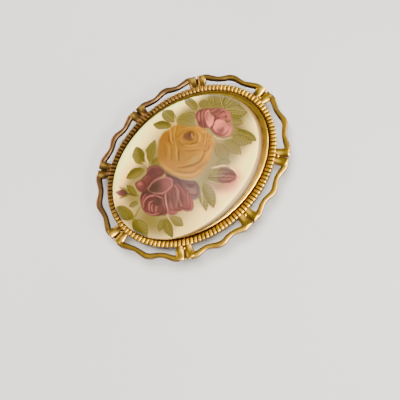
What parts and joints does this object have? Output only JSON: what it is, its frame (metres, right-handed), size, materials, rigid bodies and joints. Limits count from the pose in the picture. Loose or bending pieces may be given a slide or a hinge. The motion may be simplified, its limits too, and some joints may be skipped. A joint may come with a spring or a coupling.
{
  "type": "scarf clip",
  "caption": "Oval scarf clip: domed flower-painted stone on a gilt mount with a milled ring and openwork rim, and a bent strip clip behind.",
  "frame": {"origin": "on the surface that the clip lies on, below the middle of the milled ring", "axes": "+X along the oval's long axis, +Y along its short axis, +Z out of the front of the stone"},
  "size_m": [0.0516, 0.0418, 0.0099],
  "materials": {
    "gilt_metal": "antique gold plate, rubbed bright on the crests and brown in the recesses",
    "painted_stone": "glossy cream glaze with a transfer of roses and leaves",
    "clip_metal": "satin gold plate"
  },
  "bodies": {
    "root": {"openwork_frame": "gilt_metal", "setting_cup": "gilt_metal", "cabochon": "painted_stone", "back_clip": "clip_metal"}
  },
  "joints": []
}
